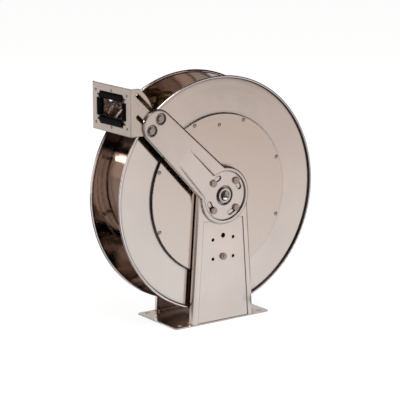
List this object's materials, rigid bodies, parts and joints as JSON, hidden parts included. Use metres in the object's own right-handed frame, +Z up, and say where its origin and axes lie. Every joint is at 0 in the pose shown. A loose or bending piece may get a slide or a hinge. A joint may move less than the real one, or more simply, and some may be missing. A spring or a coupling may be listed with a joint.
{
  "type": "spring-rewind hose reel",
  "caption": "Stainless spring-rewind hose reel: a disc spool between pressed pedestals, with a ratchet latch, guide arms and a roller hose guide.",
  "frame": {"origin": "centre of the base plate's underside, on the floor", "axes": "+Z up, -Y the side with the water inlet and the latch, the hose leaves towards -X"},
  "size_m": [0.56, 0.182, 0.586],
  "materials": {
    "stainless_sheet": "bright rolled stainless sheet that mirrors faintly",
    "machined_steel": "turned stainless bar",
    "bright_fasteners": "bright stainless fasteners",
    "dark_steel": "oiled dark steel",
    "black_nylon": "satin moulded nylon",
    "brass_parts": "machined brass",
    "bronze_bush": "oil-filled bronze",
    "spring_steel": "blued spring steel",
    "seal_rubber": "soft matt"
  },
  "bodies": {
    "stand": {"base_plate": "stainless_sheet", "front_pedestal": "stainless_sheet", "rear_pedestal": "stainless_sheet", "axle": "machined_steel", "axle_flanges": "machined_steel", "thrust_spacers": "bronze_bush", "front_guide_arm": "stainless_sheet", "rear_guide_arm": "stainless_sheet", "hub_bolts": "bright_fasteners", "guide_bracket": "stainless_sheet", "arm_end_bolts": "bright_fasteners", "arm_end_nuts": "bright_fasteners", "roller_frame": "black_nylon", "roller_pins": "machined_steel", "guide_screws": "bright_fasteners", "latch_bolt": "bright_fasteners", "latch_nut": "bright_fasteners", "latch_spring": "spring_steel", "swivel_rings": "spring_steel", "spring_arbor": "machined_steel"},
    "spool": {"front_disc": "stainless_sheet", "rear_disc": "stainless_sheet", "drum": "stainless_sheet", "drum_rings": "stainless_sheet", "front_hub": "machined_steel", "rear_hub": "machined_steel", "front_bush": "bronze_bush", "rear_bush": "bronze_bush", "disc_bolts": "bright_fasteners", "disc_nuts": "bright_fasteners", "hub_screws": "bright_fasteners", "ratchet_wheel": "dark_steel", "swivel_body": "brass_parts", "swivel_seals": "seal_rubber", "riser_pipe": "machined_steel", "riser_bracket": "stainless_sheet", "riser_screw": "bright_fasteners", "outlet_elbow": "brass_parts", "outlet_locknut": "brass_parts", "spring_case": "dark_steel", "case_rivets": "bright_fasteners", "power_spring": "spring_steel"},
    "pawl": {"latch_pawl": "dark_steel"},
    "top_roller": {"top_roller": "black_nylon"},
    "bottom_roller": {"bottom_roller": "black_nylon"},
    "front_side_roller": {"front_side_roller": "black_nylon"},
    "rear_side_roller": {"rear_side_roller": "black_nylon"}
  },
  "joints": [
    {"name": "spool_spin", "type": "hinge", "parent": "stand", "child": "spool", "pos_m": [0, 0, 0.306], "axis": [0, 1, 0], "continuous": true},
    {"name": "pawl_swing", "type": "hinge", "parent": "stand", "child": "pawl", "pos_m": [0, -0.068, 0.158], "axis": [0, 1, 0], "range_deg": [-12, 0], "stiffness_Nm_per_rad": 0.4},
    {"name": "top_roller_spin", "type": "hinge", "parent": "stand", "child": "top_roller", "pos_m": [-0.25335, 0, 0.5521], "axis": [0, 1, 0], "continuous": true},
    {"name": "bottom_roller_spin", "type": "hinge", "parent": "stand", "child": "bottom_roller", "pos_m": [-0.25335, 0, 0.4959], "axis": [0, 1, 0], "continuous": true},
    {"name": "front_side_roller_spin", "type": "hinge", "parent": "stand", "child": "front_side_roller", "pos_m": [-0.25335, -0.052, 0.524], "axis": [0, 0, 1], "continuous": true},
    {"name": "rear_side_roller_spin", "type": "hinge", "parent": "stand", "child": "rear_side_roller", "pos_m": [-0.25335, 0.052, 0.524], "axis": [0, 0, 1], "continuous": true}
  ]
}
